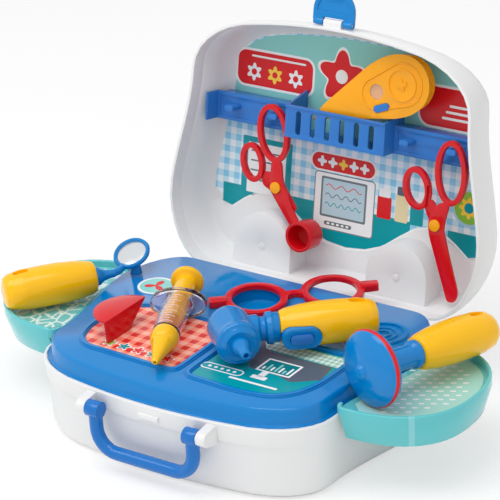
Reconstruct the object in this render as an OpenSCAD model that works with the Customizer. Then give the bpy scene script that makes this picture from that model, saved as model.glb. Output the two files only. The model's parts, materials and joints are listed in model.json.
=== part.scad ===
// Toy doctor case, open, with two clip-on trays and the play instruments laid out.
// Millimetres. Origin: centre of the case's underside. +X right, +Y to the hinge, +Z up.

/* [Case] */
// Case width across the shoulders
case_w = 290; // [200:1:340]
// Case depth, front to hinge edge
case_d = 213; // [150:1:260]
// Height of the base up to its rim
base_h = 59.5; // [40:0.5:80]
// Wall thickness of the white shells
wall = 2.4; // [1.6:0.1:3.5]
// Half width of the narrower front
front_half = 128.3; // [100:0.1:144]
// Depth inside the lid
lid_in = 44.5; // [30:0.5:60]
// How far the lid is open in the shown pose
lid_open = 100.8; // [60:0.1:120]

/* [Insert and trays] */
// Height of the blue insert above the rim
deck_rise = 13.5; // [8:0.5:20]
// Height of the raised frames on the insert
bead_h = 2.2; // [1:0.1:4]
// Sticker thickness
foil = 0.3; // [0.2:0.1:0.6]
// Reach of a tray from the case centre
tray_reach = 208.6; // [180:0.1:230]
// Tray rim height above the case rim
tray_rise = 8.5; // [5:0.5:14]
// Tray skirt below the case rim
tray_drop = 18; // [10:0.5:30]

/* [Instruments] */
// Radius of the thick yellow grips
grip_r = 16.5; // [12:0.5:20]
// Length of the yellow grips
grip_l = 74; // [50:1:90]
// Radius of the hammer disc
disc_r = 29; // [20:0.5:35]
// Radius of the otoscope head
head_r = 17; // [12:0.5:22]
// Radius of the syringe barrel
barrel_r = 11; // [8:0.5:14]

/* [Quality] */
// Facets of round parts
fn = 48; // [24:4:96]

/* [Hidden] */
$fn = fn;

white = [0.95, 0.95, 0.95];
deck_blue = [0.0, 0.55, 0.88];
rail_blue = [0.2, 0.47, 0.82];
red = [0.88, 0.1, 0.14];
yellow = [1.0, 0.79, 0.05];
aqua = [0.36, 0.78, 0.78, 0.8];
mint = [0.56, 0.83, 0.81];

half_w = case_w / 2;
half_d = case_d / 2;
// plan of the case: waist, corners and bowed front
waist_y = half_d - 105.5;
waist_len = 113.8;
rear_rx = 41.6;
rear_ry = 67;
front_rx = 70;
front_ry = 46;
bow = 4.9;
// hinge axis measured from the rear rim edge
hinge_y = half_d + 3.4;
hinge_z = base_h - 5;
knuckle_r = 3;
pin_r = 1.5;
run = 0.06;
gap = 0.3;

// inset and height of the moulded rims
rim_in = wall;
ledge_z = base_h - 2.5;
ledge_in = 6.2;
deck_z = base_h + deck_rise;
tray_floor = base_h + 0.9;
tray_floor_t = 2;
tray_top = base_h + tray_rise;
tray_bottom = base_h - tray_drop;

// outline helpers
function sq(x) = x * x;
function step01(t) = let(u = min(max(t, 0), 1)) u * u * (3 - 2 * u);
function half_at(y) = half_w + (front_half - half_w) * step01((waist_y + waist_len / 2 - y) / waist_len);
function unit(v) = v / max(norm(v), 1e-9);
function left_n(a, b) = let(t = unit(b - a)) [-t.y, t.x];
function inset(p, d) = [for (i = [0:len(p) - 1])
  p[i] + d * left_n(p[(i + len(p) - 1) % len(p)], p[(i + 1) % len(p)])];
function inset_open(p, d) = [for (i = [0:len(p) - 1])
  p[i] + d * left_n(p[max(i - 1, 0)], p[min(i + 1, len(p) - 1)])];
function lift(p, z) = [for (q = p) [q.x, q.y, z]];
function ell(c, a, b, n = 32, r = 0, from = 0, to = 360) = [for (i = [0:n - (to - from == 360 ? 1 : 0)])
  let(t = from + (to - from) * i / n, u = a * cos(t), v = b * sin(t))
  [c.x + u * cos(r) - v * sin(r), c.y + u * sin(r) + v * cos(r)]];
function soft(p, r, n = 4) = [for (i = [0:len(p) - 1])
  let(a = p[(i + len(p) - 1) % len(p)], b = p[i], c = p[(i + 1) % len(p)],
      k = min(r, norm(a - b) * 0.45, norm(c - b) * 0.45),
      s = b + k * unit(a - b), e = b + k * unit(c - b))
  for (j = [0:n]) let(t = j / n) s * sq(1 - t) + 2 * b * t * (1 - t) + e * sq(t)];

front_xe = front_half - front_rx * (1 - cos(82));
front_arc = [for (i = [0:7]) let(a = -82 + 82 * i / 7)
  [front_half - front_rx * (1 - cos(a)), -half_d + bow + front_ry * (1 + sin(a))]];
front_bow = [for (i = [0:4]) let(x = front_xe * i / 5)
  [x, -half_d + (bow + front_ry * (1 - sin(82))) * sq(x / front_xe)]];
side_y0 = -half_d + bow + front_ry;
side_y1 = half_d - rear_ry;
side = [for (i = [1:8]) let(y = side_y0 + (side_y1 - side_y0) * i / 9) [half_at(y), y]];
rear_arc = [for (i = [0:8]) let(a = 90 * i / 8, y = side_y1 + rear_ry * sin(a))
  [half_at(y) - rear_rx * (1 - cos(a)), y]];
rear_flat = [for (i = [2, 1]) [(half_w - rear_rx) * i / 3, half_d]];
right_half = concat(front_bow, front_arc, side, rear_arc, rear_flat, [[0, half_d]]);
left_half = [for (i = [len(right_half) - 2:-1:1]) [-right_half[i].x, right_half[i].y]];
plan = concat(right_half, left_half);

// closed solid through rings of equal length, capped at both ends
module stack(rings) {
  n = len(rings[0]);
  m = len(rings);
  pts = [for (r = rings) each r];
  faces = concat(
    [[for (i = [0:n - 1]) i]],
    [for (k = [0:m - 2]) for (i = [0:n - 1]) let(j = (i + 1) % n)
      each [[k * n + i, (k + 1) * n + i, (k + 1) * n + j], [k * n + i, (k + 1) * n + j, k * n + j]]],
    [[for (i = [n - 1:-1:0]) (m - 1) * n + i]]);
  polyhedron(pts, faces);
}
// wall swept along an open path, its profile rings closed on each other
module band(rings) {
  n = len(rings[0]);
  m = len(rings);
  pts = [for (r = rings) each r];
  faces = concat(
    [for (k = [0:m - 1]) let(q = (k + 1) % m) for (i = [0:n - 2])
      each [[k * n + i, q * n + i + 1, q * n + i], [k * n + i, k * n + i + 1, q * n + i + 1]]],
    [[for (k = [0:m - 1]) k * n]],
    [[for (k = [m - 1:-1:0]) k * n + n - 1]]);
  polyhedron(pts, faces);
}
// round bar along a path in the XZ plane
module bar_xz(path, a, b, n = 12) {
  m = len(path);
  rings = [for (i = [0:m - 1])
    let(t = unit(path[min(i + 1, m - 1)] - path[max(i - 1, 0)]), s = [-t.y, t.x])
    [for (j = [0:n - 1]) let(w = -360 * j / n)
      [path[i].x + s.x * a * cos(w), b * sin(w), path[i].y + s.y * a * cos(w)]]];
  stack(rings);
}
module plate(p, t) linear_extrude(t) polygon(p);
module frame2(outer, inner, t) linear_extrude(t) difference() { polygon(outer); polygon(inner); }
// turned solid about +Z from [radius, height] pairs
module turned(p) rotate_extrude() polygon(p);
// the lid's own space: x across, y from the hinge edge (front negative), z into the lid
module in_lid() {
  translate([0, hinge_y, hinge_z])
    rotate([-lid_open, 0, 0])
      translate([0, half_d - hinge_y, base_h - hinge_z])
        children();
}
module both() {
  children();
  mirror([1, 0, 0]) children();
}

// white base with ledge, front brackets, catch, tray slots and hinge lugs
bracket_x = 50;
bracket_w = 8;
grip_axis_y = -half_d - 7;
grip_axis_z = 50;
tongue_y = [-16, 36];
tongue_w = 12;
tongue_t = 2.6;
tongue_clear = 0.8;
tongue_z = base_h - 9.6;
lug_x = [58, 78];
lug_w = 9.5;
module base_shell() color(white) difference() {
  union() {
    stack([lift(inset(plan, 12), 0), lift(inset(plan, 8.4), 0.6), lift(inset(plan, 5.2), 3.2),
      lift(inset(plan, 3.6), 8), lift(inset(plan, 2.4), base_h - 15.5),
      lift(inset(plan, 0.5), base_h - 14.2), lift(inset(plan, 0), base_h - 1),
      lift(inset(plan, 0.6), base_h), lift(inset(plan, rim_in), base_h),
      lift(inset(plan, rim_in), ledge_z), lift(inset(plan, ledge_in), ledge_z),
      lift(inset(plan, ledge_in), ledge_z - 2), lift(inset(plan, 4.9), ledge_z - 5),
      lift(inset(plan, 6), 8), lift(inset(plan, 9), 2.6)]);
    both() front_bracket();
    translate([-9, -half_d - 1.5, base_h - 10.5]) cube([18, 3.2, 4]);
    both() for (x = lug_x) base_lug(x);
  }
  both() for (y = tongue_y)
    translate([half_at(y) - 12, y - tongue_w / 2 - gap, tongue_z - gap])
      cube([14, tongue_w + 2 * gap, tongue_t + 2 * gap]);
  both() translate([lug_x[0] - 12, hinge_y, hinge_z]) rotate([0, 90, 0]) cylinder(r = pin_r, h = 44);
}
module front_bracket() {
  y0 = -half_d + 4;
  translate([bracket_x, 0, 0]) rotate([90, 0, 90])
    linear_extrude(bracket_w) polygon(soft([[y0, 42], [grip_axis_y - 3, 45.5], [grip_axis_y - 5.5, 48],
      [grip_axis_y - 5.5, 53], [grip_axis_y - 2.5, 56], [y0, 57.5]], 1.5, 3));
  translate([bracket_x - 10, grip_axis_y, grip_axis_z]) rotate([0, 90, 0]) cylinder(r = 3, h = 10.5);
}
module base_lug(x) {
  translate([x - lug_w / 2, hinge_y, hinge_z]) rotate([0, 90, 0]) cylinder(r = knuckle_r, h = lug_w);
  translate([x - lug_w / 2, 0, 0]) rotate([90, 0, 90])
    linear_extrude(lug_w) polygon([[half_d - 1.5, base_h - 4], [half_d - 1.5, base_h - 13.5],
      [hinge_y + 1, hinge_z - 2.8], [hinge_y + 1.5, hinge_z], [hinge_y, hinge_z + 1]]);
}

// pressed-in blue insert with a raised step and two framed sticker fields
field_left = [[-104, -45], [-97, -64], [-84, -72.5], [-20, -75], [3, -75], [3, -20], [3, 4], [-14, 12],
  [-86, 12], [-104, -10]];
field_right = [[7, -76], [60, -79], [86, -75], [101, -62], [108, -44], [110, -20], [110, 12], [12, 12],
  [7, 4], [7, -20]];
pocket_at = [-11.5, 53];
pocket_r = 23;
pocket_deep = 9;
module deck() color(deck_blue) difference() {
  union() {
    deck_body();
    translate([pocket_at.x, pocket_at.y, deck_z - pocket_deep - 2]) cylinder(r = pocket_r + 2, h = pocket_deep + 1);
  }
  translate([pocket_at.x, pocket_at.y, deck_z - pocket_deep]) cylinder(r = pocket_r, h = pocket_deep + 1);
}
module deck_body() {
  stack([lift(inset(plan, 13), deck_z - 2), lift(inset(plan, 10), deck_z - 2.6),
    lift(inset(plan, 9), deck_z - 5), lift(inset(plan, 8.2), ledge_z + 3), lift(inset(plan, 8), ledge_z),
    lift(inset(plan, 3.2), ledge_z), lift(inset(plan, 3.2), base_h - 0.4),
    lift(inset(plan, 3.8), base_h + 0.3), lift(inset(plan, 5.6), base_h + 0.5),
    lift(inset(plan, 6.4), base_h + 2), lift(inset(plan, 7), deck_z - 3.4),
    lift(inset(plan, 8), deck_z - 1), lift(inset(plan, 10), deck_z), lift(inset(plan, 13), deck_z)]);
  for (f = [field_left, field_right]) {
    o = soft(f, 12);
    translate([0, 0, deck_z - 0.5]) frame2(o, inset(o, 5), bead_h - 0.7);
    translate([0, 0, deck_z]) frame2(inset(o, 1), inset(o, 4), bead_h);
  }
  translate([104, 52, deck_z - 0.5]) linear_extrude(2.3) difference() {
    circle(19);
    circle(15.5);
  }
  translate([104, 52, deck_z - 0.5]) for (r = [11, 6]) linear_extrude(1.4) difference() {
    circle(r);
    circle(r - 1.6);
  }
}
module sticker_front_left() color([0.98, 0.6, 0.5])
  translate([0, 0, deck_z]) plate(inset(soft(field_left, 12), 6), foil);
module sticker_front_right() color([0.1, 0.6, 0.62])
  translate([0, 0, deck_z]) plate(inset(soft(field_right, 12), 6), foil);
module sticker_round() color(mint)
  translate([-98, 40, deck_z]) plate(ell([0, 0], 15, 15, 40), foil);

module hinge_pin_left() color([0.8, 0.8, 0.82])
  translate([-lug_x[0] - 32, hinge_y, hinge_z]) rotate([0, 90, 0]) cylinder(r = pin_r - 0.02, h = 40);
module hinge_pin_right() color([0.8, 0.8, 0.82])
  translate([lug_x[0] - 8, hinge_y, hinge_z]) rotate([0, 90, 0]) cylinder(r = pin_r - 0.02, h = 40);

// white lid: draughted shell, raised land, two wheel wells
well_x = 63.2;
well_y = -21.9;
well_r = 27.5;
well_cut = 25;
well_face = 17.9;
wheel_r = 22.6;
land_edge = [[-134, -43], [-125, -44], [-111, -41], [-99, -50], [-88, -56.5], [-74, -58.5], [-62, -55],
  [-49, -46], [-34, -35], [-18, -29], [0, -27], [18, -29], [34, -35], [49, -46], [62, -55], [74, -58.5],
  [88, -56.5], [99, -50], [111, -41], [125, -44], [134, -43]];
module lid_hollow() translate([0, -half_d, 0])
  stack([lift(inset(plan, rim_in), -1), lift(inset(plan, rim_in), 13), lift(inset(plan, 3.6), 14.4),
    lift(inset(plan, 6.1), 30.8), lift(inset(plan, 9.4), 40), lift(inset(plan, 14.2), lid_in)]);
module lid_outer() translate([0, -half_d, 0])
  stack([lift(inset(plan, 0), 0), lift(inset(plan, 0.3), 13), lift(inset(plan, 3.4), 31),
    lift(inset(plan, 6.8), 41), lift(inset(plan, 11.2), 45.6), lift(inset(plan, 17), lid_in + wall)]);
module tomb(r, z0, z1, tail) {
  translate([0, 0, z0]) cylinder(r = r, h = z1 - z0);
  translate([-r, 0, z0]) cube([2 * r, tail, z1 - z0]);
}
land_z = 41.6;
module land() intersection() {
  translate([0, 0, land_z]) plate(concat([for (i = [len(land_edge) - 1:-1:0]) land_edge[i]],
    [[-134, 2], [134, 2]]), lid_in + 0.6 - land_z);
  lid_outer();
}
module lid_shell() color(white) in_lid() difference() {
  union() {
    difference() {
      lid_outer();
      lid_hollow();
    }
    land();
    both() intersection() {
      translate([well_x, well_y, 0]) tomb(well_r, well_face, lid_in + 1, 30);
      lid_outer();
    }
    both() for (x = lug_x) lid_lug(x + lug_w + 0.5);
    translate([-8, -case_d - 3.3, 4.5]) rotate([0, 90, 0]) cylinder(r = 2.9, h = 16);
    translate([-8, -case_d - 3.3, 1.6]) cube([16, 4.5, 5.8]);
  }
  both() translate([well_x, well_y, 0]) tomb(well_cut, well_face + wall, 60, 60);
  both() translate([well_x, well_y, well_face - 1]) cylinder(r = axle_r, h = 5);
  both() translate([lug_x[0] - 12, 3.4, -5]) rotate([0, 90, 0]) cylinder(r = pin_r + run, h = 60);
  translate([-12, -case_d - 3.3, 4.5]) rotate([0, 90, 0]) cylinder(r = latch_pin_r, h = 24);
}
module lid_lug(x) {
  translate([x - lug_w / 2, 3.4, -5]) rotate([0, 90, 0]) cylinder(r = knuckle_r, h = lug_w);
  translate([x - lug_w / 2, 0, 0]) rotate([90, 0, 90])
    linear_extrude(lug_w) polygon([[0.4, 0], [0.6, -5], [6.2, -5], [5.6, 0], [3, 8], [-0.5, 11], [-1.4, 1]]);
}
module lid_sticker() color(mint) in_lid() {
  top = [for (q = inset(plan, 15)) if (q.y < half_d - 48) [q.x, q.y - half_d]];
  low = [for (i = [0:len(land_edge) - 1]) if (abs(land_edge[i].x) < 124) [land_edge[i].x, land_edge[i].y - 1.2]];
  right = [for (q = top) if (q.x >= 0) q];
  left = [for (q = top) if (q.x < 0) q];
  translate([0, 0, lid_in - foil])
    plate(concat(right, [for (i = [len(low) - 1:-1:0]) low[i]], left), foil);
}

// blue hanging rail with a slotted basket and four pegs
rail_front = 31;
basket_front = 15;
basket_half = 46;
rail_lo = -117;
rail_hi = -139.5;
rail_end = 124.5;
peg_x = [61, 103];
module lid_rail() color(rail_blue) in_lid() difference() {
  union() {
    both() {
      translate([basket_half - 1, rail_hi, rail_front]) cube([rail_end - basket_half, rail_lo - rail_hi, 1.8]);
      translate([basket_half - 1, rail_hi, rail_front]) cube([rail_end - 6 - basket_half, 1.8, 11.5]);
      translate([basket_half - 1, rail_lo - 1.8, rail_front]) cube([rail_end - 6 - basket_half, 1.8, 11.5]);
      frame2_rail();
      translate([rail_end - 2.8, rail_hi, 16]) cube([1.8, rail_lo - rail_hi, 16]);
      for (x = peg_x) translate([x, -129.5, basket_front + 3.5]) peg(rail_front - basket_front - 3);
      translate([basket_half - 2, rail_hi - 3.5, basket_front]) cube([2, rail_lo - rail_hi + 3.5, lid_in - 0.8 - basket_front]);
      translate([basket_half - 2, 0, 0]) rotate([90, 0, 90]) linear_extrude(2)
        polygon([[rail_hi - 3, basket_front], [rail_hi - 3, lid_in - 0.8], [rail_hi - 11, lid_in - 0.8]]);
    }
    translate([-basket_half, rail_hi - 3.5, basket_front]) cube([2 * basket_half, rail_lo - rail_hi + 3.5, 2]);
    translate([-basket_half, rail_lo - 2, basket_front]) cube([2 * basket_half, 2, lid_in - 0.8 - basket_front]);
    translate([-basket_half, rail_hi - 3.5, basket_front - 1]) cube([2 * basket_half, 1.8, 2]);
  }
  for (i = [0:5]) translate([-33.75 + 13.5 * i, -129.6, basket_front - 1]) linear_extrude(4)
    union() {
      translate([-2.4, -7.2]) square([4.8, 14.4]);
      translate([0, -7.2]) circle(2.4);
      translate([0, 7.2]) circle(2.4);
    }
}
module frame2_rail() translate([0, 0, rail_front - 1]) difference() {
  translate([basket_half - 0.5, rail_hi, 0]) cube([rail_end - basket_half - 1, rail_lo - rail_hi, 1.5]);
  translate([basket_half + 3.5, rail_hi + 3, -1]) cube([rail_end - basket_half - 9, rail_lo - rail_hi - 6, 4]);
}
module peg(l) linear_extrude(l) union() {
  translate([-1.8, -2.3]) square([3.6, 4.6]);
  translate([-1.8, 0]) circle(2.3);
  translate([1.8, 0]) circle(2.3);
}

// wheels turn on pins across the wells
axle_r = 3;
wheel_z = [well_face + wall + 1.2, lid_in - 1.2];
module axle(s) color(white) in_lid() translate([s * well_x, well_y, well_face - 0.4]) {
  cylinder(r = axle_r - 0.02, h = wheel_z[1] - well_face + 1.8);
  translate([0, 0, wheel_z[1] - well_face + 0.8]) cylinder(r = 6, h = 1.8);
  translate([0, 0, wall + 0.5]) cylinder(r = 5, h = 0.8);
}
module wheel(s) color(rail_blue) in_lid() translate([s * well_x, well_y, wheel_z[0]]) {
  h = wheel_z[1] - wheel_z[0];
  turned([[axle_r + run, 0], [7, 0], [7, 3], [wheel_r - 5, 3], [wheel_r - 4, 0], [wheel_r - 1.5, 0],
    [wheel_r, 1.5], [wheel_r, h - 1.5], [wheel_r - 1.5, h], [wheel_r - 4, h], [wheel_r - 5, h - 4],
    [8, h - 4], [7, h], [axle_r + run, h]]);
}
module axle_left() axle(-1);
module axle_right() axle(1);
module wheel_left() wheel(-1);
module wheel_right() wheel(1);

// half-round latch, swung up in line with the lid
latch_pin_r = 1.3;
module latch() color(deck_blue) in_lid() translate([0, -case_d - 3.3, 4.5]) difference() {
  union() {
    for (s = [-1, 1]) translate([s * 13.2 - 4.2, 0, 0]) rotate([0, 90, 0]) cylinder(r = 2.9, h = 8.4);
    translate([0, 0, -1.4]) linear_extrude(2.8) difference() {
      polygon(concat([[-18.5, -1], [18.5, -1]], [for (i = [0:16]) let(a = -180 * i / 16)
        [18.5 * cos(a), -9 + 18 * sin(a)]]));
      translate([-9, -3.8]) square([18, 8]);
    }
    translate([-7, -23.5, -3]) cube([14, 2.4, 2]);
  }
  translate([0, -8.6, -2]) linear_extrude(1.4) difference() {
    polygon(ell([0, 0], 15, 14.6, 24, 0, 180, 360));
    translate([-8.5, -16.5]) square([17, 5.2]);
  }
  translate([-25, 0, 0]) rotate([0, 90, 0]) cylinder(r = latch_pin_r + run, h = 50);
}
module latch_pin() color([0.8, 0.8, 0.82]) in_lid()
  translate([-17, -case_d - 3.3, 4.5]) rotate([0, 90, 0]) cylinder(r = latch_pin_r - 0.02, h = 34);

// U-shaped carrying handle, hanging from the front brackets
handle_drop = 33;
module handle() color([0.09, 0.44, 0.82]) translate([0, grip_axis_y, grip_axis_z]) difference() {
  union() {
    path = concat([[-43.8, 0], [-43.8, -5]], ell([-26.8, -15], 17, handle_drop - 15, 8, 0, 180, 270),
      ell([26.8, -15], 17, handle_drop - 15, 8, 0, 270, 360), [[43.8, -5], [43.8, 0]]);
    bar_xz(path, 5.2, 5.4);
    both() translate([38.2, 0, 0]) rotate([0, 90, 0]) cylinder(r = 6.4, h = 11.4);
  }
  both() translate([39.6, 0, 0]) rotate([0, 90, 0]) cylinder(r = 3 + run, h = 14);
}

// half-round trays that plug into slots in the case sides
tray_cx = 132.8;
tray_cy = 10.5;
tray_b = 64.6;
function tray_pt(t) = [tray_cx + (tray_reach - tray_cx) * pow(abs(cos(t)), 0.833),
  tray_cy + tray_b * sign(sin(t)) * pow(abs(sin(t)), 0.833)];
tray_path = [for (i = [0:26]) tray_pt(-90 + 175 * i / 26)];
function tray_in(d) = [for (i = [0:len(tray_path) - 1]) i == 0 ? tray_path[0] + [0, d] :
  i == len(tray_path) - 1 ? tray_path[i] - [0, d] : inset_open(tray_path, d)[i]];
curl_path = [[126.9, -45.5], [127.2, -48.2], [128.3, -50.9], [130.3, -53], [132.6, -53.9], [134.6, -53.9]];
right_half_cut = [for (q = plan) if (q.x > 90 && q.y > -58 && q.y < 78) q];
module tray() {
  inner = [for (i = [len(right_half_cut) - 1:-1:0]) let(q = inset_open(right_half_cut, rim_in + 0.1)[i])
    if (q.y > -47 && q.y < 68) q];
  color(aqua) union() {
    translate([0, 0, tray_floor]) plate(concat([[127.6, -46.5], [128, -49.2], [130.4, -51.6]],
      [for (i = [1:len(tray_path) - 2]) tray_in(1.4)[i]], inner), tray_floor_t);
    band([lift(tray_in(0.7), tray_top), lift(tray_in(0), tray_top - 0.8),
      lift(tray_in(0), base_h + 0.6), lift(tray_in(5.6), tray_bottom),
      lift(tray_in(7.8), tray_bottom), lift(tray_in(3), base_h + 1.5),
      lift(tray_in(2.9), tray_top - 0.8), lift(tray_in(2.2), tray_top)]);
    translate([0, 0, tray_floor + 0.3]) plate(concat(curl_path, [for (i = [5:-1:0]) inset_open(curl_path, 2.6)[i]]),
      tray_top - tray_floor - 0.7);
    for (y = tongue_y) {
      root_w = tongue_w + 2;
      root_x = max(half_at(y - root_w / 2), half_at(y + root_w / 2)) + tongue_clear;
      translate([root_x, y - root_w / 2, tongue_z]) cube([2.8, root_w, tray_floor + 0.5 - tongue_z]);
      translate([half_at(y) - 8, y - tongue_w / 2, tongue_z]) cube([root_x - half_at(y) + 9, tongue_w, tongue_t]);
    }
  }
}
module tray_foil() {
  inner = [for (i = [len(right_half_cut) - 1:-1:0]) let(q = inset_open(right_half_cut, -3.5)[i])
    if (q.y > -40 && q.y < 58) q];
  outer = [for (q = tray_in(6.4)) if (q.x > 137) q];
  color([0.3, 0.72, 0.74]) translate([0, 0, tray_floor + tray_floor_t]) plate(concat(outer, inner), foil);
}
module tray_right() tray();
module tray_right_sticker() tray_foil();
module tray_left() mirror([1, 0, 0]) tray();
module tray_left_sticker() mirror([1, 0, 0]) tray_foil();

// hanging tongs with a cup, and scissors: two flat moulded halves on a rivet
hang_z = 20.4;
blade_t = 2.1;
ring_t = 4.4;
rivet_r = 2.4;
module eye(c, a, b, r, w) frame2(ell(c, a, b, 32, r), ell(c, a - w, b - w, 32, r), ring_t);
module rivet() {
  translate([0, 0, -1.4]) cylinder(r = 4.6, h = 1.4);
  translate([0, 0, -0.2]) cylinder(r = rivet_r - 0.02, h = ring_t + 0.4);
  translate([0, 0, ring_t]) cylinder(r = 3.6, h = 1.1);
}
tong_at = [-54.7, -72.2];
cup = [28.8, 34.3];
module forceps_front() color(red) in_lid() translate([tong_at.x, tong_at.y, hang_z]) {
  difference() {
    union() {
      eye([-6.1, -43.3], 14.6, 23.8, -12, 4.2);
      plate(soft([[-5.5, -21.5], [3.5, -22.5], [6, -6], [19, 18], [24, 26], [17, 30], [8, 20], [-6.2, 2], [-6, -8]], 4), blade_t);
    }
    translate([0, 0, -1]) cylinder(r = rivet_r, h = 9);
  }
  translate([cup.x, cup.y, -7.4]) difference() {
    cylinder(r = 12.2, h = 17);
    translate([0, 0, -1]) cylinder(r = 9.8, h = 16.4);
  }
}
module forceps_back() color(red) in_lid() translate([tong_at.x, tong_at.y, hang_z]) difference() {
  union() {
    difference() {
      eye([-24.5, -16.4], 11, 16.2, -14, 4.2);
      translate([-13.6, -20, -1]) cube([20, 40, 1 + blade_t + 0.12]);
    }
    translate([0, 0, blade_t + 0.12]) plate(soft([[-16, -10.5], [-8, -11], [3, -7.5], [7.5, -1], [19.5, 14.5],
      [15.5, 18.5], [9, 12], [-5, 4.5], [-14.5, 0.5]], 3.5), blade_t);
  }
  translate([0, 0, -1]) cylinder(r = rivet_r + run, h = 9);
}
module forceps_rivet() color(yellow) in_lid() translate([tong_at.x, tong_at.y, hang_z]) rivet();

shear_at = [93.1, -69.8];
module scissors_front() color(red) in_lid() translate([shear_at.x, shear_at.y, hang_z]) difference() {
  union() {
    eye([10.1, -42.9], 13.8, 25.6, -4, 4.2);
    plate(soft([[2.5, -19], [11.5, -19.5], [8.6, -6], [7.5, 4], [24.5, 50], [22, 58], [15.5, 58.5], [-5, 8],
      [-6.3, -2], [-4, -10]], 5), blade_t);
  }
  translate([0, 0, -1]) cylinder(r = rivet_r, h = 9);
}
module scissors_back() color(red) in_lid() translate([shear_at.x, shear_at.y, hang_z]) difference() {
  union() {
    difference() {
      eye([-19, -26], 12, 17, -14, 4.4);
      translate([-9.5, -30, -1]) cube([20, 40, 1 + blade_t + 0.12]);
    }
    translate([0, 0, blade_t + 0.12]) plate(soft([[-12.5, -17], [-5.5, -19.5], [3, -8.5], [6, 2], [19, 42],
      [16.6, 48], [12.4, 47], [-3.5, 9], [-5.5, 0], [-11, -10.5]], 4), blade_t);
  }
  translate([0, 0, -1]) cylinder(r = rivet_r + run, h = 9);
}
module scissors_rivet() color(yellow) in_lid() translate([shear_at.x, shear_at.y, hang_z]) rivet();

// drop-shaped thermometer standing in the basket
th_at = [53, -173.4];
th_turn = -21;
th_z = 25.5;
th_half = 6.4;
th_shape = [[-78, 7.5], [-70, 2.6], [-52, -5], [-34, -12.6], [-20, -18.6], [-8, -21.4], [4, -21.6], [15, -17.8],
  [22.4, -10], [24.8, 0], [22.4, 10], [15, 17.8], [4, 21.6], [-10, 21.2], [-30, 17], [-50, 12.6], [-70, 9]];
module in_thermo() in_lid() translate([th_at.x, th_at.y, th_z]) rotate([0, 0, th_turn]) children();
win_at = [-21, 0.5];
btn_at = [-20, 13.4];
dial_r = 9;
dial_at = [-2, -15];
module thermometer_front() color([0.98, 0.68, 0.12]) in_thermo() difference() {
  o = soft(th_shape, 5, 2);
  union() {
    translate([0, 0, -th_half + 2.4]) plate(o, th_half - 2.4);
    translate([0, 0, -th_half + 1]) plate(inset(o, -1.4), 1.5);
    translate([0, 0, -th_half]) plate(inset(o, -3), 1.1);
    translate([3, 0, -th_half - 0.9]) linear_extrude(1) difference() {
      circle(13);
      circle(11.4);
    }
    translate([3, 0, -th_half - 0.9]) linear_extrude(1) union() {
      square([9, 3], center = true);
      square([3, 9], center = true);
    }
  }
  translate([win_at.x, win_at.y, -th_half - 1]) cylinder(r = 6.2, h = 3);
  translate([btn_at.x, btn_at.y, -th_half - 1]) linear_extrude(4.2) oblong(4.4, 2.9);
  translate([dial_at.x, dial_at.y, -1.9]) cylinder(r = dial_r + 0.8, h = 5);
}
module oblong(h, r) union() {
  square([2 * h, 2 * r], center = true);
  translate([-h, 0]) circle(r);
  translate([h, 0]) circle(r);
}
module thermometer_back() color([0.98, 0.68, 0.12]) in_thermo() {
  o = soft(th_shape, 5, 2);
  difference() {
    union() {
      plate(o, th_half - 2);
      translate([0, 0, th_half - 2.5]) plate(inset(o, -1.4), 1.4);
      translate([-88, 9.4, 2.2]) rotate([0, 90, -8]) cylinder(r = 2.1, h = 16);
    }
    translate([dial_at.x, dial_at.y, -1]) cylinder(r = dial_r + 0.8, h = 2.9);
  }
  translate([dial_at.x, dial_at.y, -1.6]) cylinder(r = 2, h = 4);
}
module thermometer_dial() color(deck_blue) in_thermo() translate([dial_at.x, dial_at.y, -1.5]) difference() {
  cylinder(r = dial_r, h = 3);
  translate([0, 0, -1]) cylinder(r = 2 + run, h = 6);
  for (i = [0:11]) rotate([0, 0, 30 * i]) translate([dial_r + 0.5, 0, -1]) cylinder(r = 1.1, h = 6, $fn = 16);
}
module thermometer_window() color([0.8, 0.85, 0.9, 0.5]) in_thermo()
  translate([win_at.x, win_at.y, -th_half + 0.5]) cylinder(r = 6.1, h = 1.4);
module thermometer_button() color([0.1, 0.5, 0.75]) in_thermo()
  translate([btn_at.x, btn_at.y, -th_half - 0.9]) linear_extrude(2.9) oblong(4.3, 2.8);

// syringe, lying with its nose down to the front
syr_at = [-63, 35.4, deck_z + 15.1];
syr_az = -65.4;
syr_dip = 2.3;
module in_syringe() translate(syr_at) rotate([0, 0, syr_az]) rotate([0, syr_dip, 0]) rotate([0, 90, 0]) children();
flange_z = 37.4;
collar_z = 98;
plunger_r = 8.2;
knob_r = 13;
module syringe_barrel() color([0.85, 0.88, 0.95, 0.35]) in_syringe() {
  turned([[barrel_r - 1.5, flange_z], [barrel_r + 0.5, flange_z], [barrel_r, flange_z + 3],
    [barrel_r - 0.3, collar_z - 8], [barrel_r - 1.8, collar_z - 8], [barrel_r - 1.5, flange_z + 3]]);
  translate([0, 0, flange_z - 2]) linear_extrude(2.2) difference() {
    polygon(ell([0, 0], 12.6, 22, 48));
    circle(barrel_r - 1.5);
  }
  translate([0, 0, flange_z]) linear_extrude(4) difference() {
    polygon(ell([0, 0], 12.6, 22, 48));
    polygon(ell([0, 0], 11.4, 20.8, 48));
  }
}
module syringe_nose() color(yellow) in_syringe()
  turned([[0, collar_z - 8], [barrel_r - 1.9, collar_z - 8], [barrel_r - 1.9, collar_z - 7.9],
    [barrel_r - 0.4, collar_z - 7.9], [barrel_r - 0.2, collar_z - 4], [barrel_r - 1.2, collar_z + 2],
    [8.4, collar_z + 4], [7.6, collar_z + 8], [4, collar_z + 24], [2.8, collar_z + 31],
    [1.6, collar_z + 32.4], [1.1, collar_z + 32.4], [1.1, collar_z + 26], [0, collar_z + 26]]);
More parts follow.
